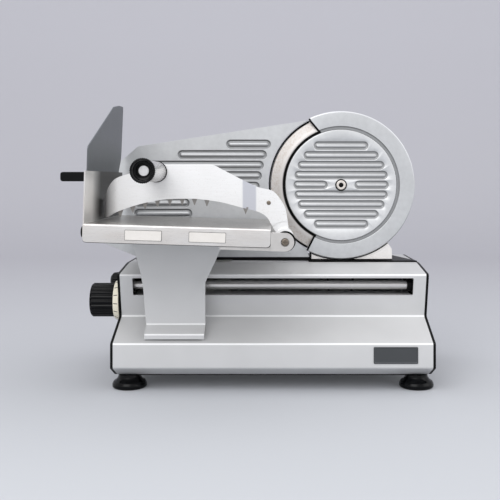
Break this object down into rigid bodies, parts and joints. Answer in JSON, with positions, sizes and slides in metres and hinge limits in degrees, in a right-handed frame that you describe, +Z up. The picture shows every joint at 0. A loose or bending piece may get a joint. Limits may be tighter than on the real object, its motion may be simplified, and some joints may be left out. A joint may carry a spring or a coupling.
{
  "type": "food slicer",
  "caption": "Food slicer with a sliding tray, a lifting press arm with teeth, a round blade under a ribbed cover, a ribbed gauge plate and a thickness knob on a folded base.",
  "frame": {"origin": "middle of the footprint, on the bench", "axes": "+X to the right along the carriage's travel, +Y to the back, +Z up"},
  "size_m": [0.4566, 0.3874, 0.3675],
  "materials": {
    "painted_grey": "light grey powder paint",
    "black_paint": "black paint",
    "zinc_plate": "plated sheet steel",
    "black_plastic": "glossy black plastic",
    "steel": "turned steel",
    "badge_dark": "dark satin plate, bare",
    "bright_casting": "smooth casting",
    "cast_aluminium": "satin anodised casting",
    "blade_steel": "ground and polished steel",
    "belt_rubber": "matt rubber",
    "cream_plastic": "cream moulded plastic",
    "nylon": "natural nylon",
    "stainless_sheet": "polished stainless sheet",
    "label_white": "white label film, bare",
    "guard_metal": "dark blue-grey coating",
    "satin_aluminium": "satin sheet"
  },
  "bodies": {
    "base": {"base_shell": "painted_grey", "left_end_panel": "black_paint", "right_end_panel": "black_paint", "bottom_plate": "zinc_plate", "foot_front_left": "black_plastic", "foot_front_right": "black_plastic", "foot_rear_left": "black_plastic", "foot_rear_right": "black_plastic", "guide_rod": "steel", "rod_bracket_left": "zinc_plate", "rod_bracket_right": "zinc_plate", "rod_end_nut": "steel", "bed_plate": "black_paint", "badge_plate": "badge_dark", "cord_gland": "black_plastic", "blade_bracket": "bright_casting", "ring_guard": "cast_aluminium", "blade_cover": "cast_aluminium", "cover_screw": "steel", "blade_axle": "steel", "axle_nut": "steel", "motor_body": "zinc_plate", "motor_cradle": "zinc_plate", "drive_belt": "belt_rubber", "gauge_rail": "zinc_plate", "switch_body": "black_plastic"},
    "blade_wheel": {"blade": "blade_steel", "blade_pulley": "cast_aluminium", "blade_bearing": "steel"},
    "motor_wheel": {"motor_pulley": "steel"},
    "gauge": {"gauge_plate": "cast_aluminium", "gauge_slider": "zinc_plate"},
    "thickness_control": {"thickness_dial": "cream_plastic", "thickness_knob": "black_plastic", "adjusting_spindle": "steel", "snail_cam": "nylon"},
    "switch": {"switch_knob": "black_plastic"},
    "carriage": {"tray": "stainless_sheet", "label_left": "label_white", "label_right": "label_white", "tray_frame": "bright_casting", "pivot_rod": "steel", "pivot_screw": "steel", "side_bolt": "black_plastic", "carriage_leg": "painted_grey", "roller_pin": "steel", "carriage_bearing": "cast_aluminium", "hand_guard": "guard_metal", "push_grip": "black_plastic"},
    "roller": {"support_roller": "nylon"},
    "press_slider": {"press_sleeve": "nylon"},
    "press": {"press_arm": "satin_aluminium", "arm_rivet": "steel", "toothed_strip": "satin_aluminium", "handle_washer": "black_plastic", "handle_tube": "steel", "handle_cap": "black_plastic", "handle_bolt": "blade_steel", "handle_nut": "steel"}
  },
  "joints": [
    {"name": "blade_spin", "type": "hinge", "parent": "base", "child": "blade_wheel", "pos_m": [0.1166, 0.07475, 0.259], "axis": [0, 1, 0], "continuous": true},
    {"name": "motor_spin", "type": "hinge", "parent": "base", "child": "motor_wheel", "pos_m": [0.1166, 0.07475, 0.085], "axis": [0, 1, 0], "continuous": true},
    {"name": "gauge_slide", "type": "slide", "parent": "base", "child": "gauge", "axis": [0, 1, 0], "range_m": [0, 0.015]},
    {"name": "knob_turn", "type": "hinge", "parent": "base", "child": "thickness_control", "pos_m": [-0.1808, 0.02052, 0.1053], "axis": [1, 0, 0], "range_deg": [0, 302]},
    {"name": "switch_turn", "type": "hinge", "parent": "base", "child": "switch", "pos_m": [-0.1808, 0.07375, 0.124], "axis": [1, 0, 0], "range_deg": [0, 60]},
    {"name": "carriage_slide", "type": "slide", "parent": "base", "child": "carriage", "axis": [1, 0, 0], "range_m": [-0.015, 0.22]},
    {"name": "roller_spin", "type": "hinge", "parent": "carriage", "child": "roller", "pos_m": [-0.1013, -0.0116, 0.0977], "axis": [0, -0.2776, 0.9607], "range_deg": [-110, 1580]},
    {"name": "press_slide", "type": "slide", "parent": "carriage", "child": "press_slider", "axis": [0, 1, 0], "range_m": [-0.062, 0.09]},
    {"name": "press_lift", "type": "hinge", "parent": "press_slider", "child": "press", "pos_m": [0.03517, -0.07975, 0.19652], "axis": [0, 1, 0], "range_deg": [0, 100]}
  ],
  "couplings": [
    {"joint": "motor_spin", "follows": "blade_spin", "ratio": 2.3333},
    {"joint": "knob_turn", "follows": "gauge_slide", "rad_per_m": 349.07},
    {"joint": "roller_spin", "follows": "carriage_slide", "rad_per_m": 125}
  ]
}
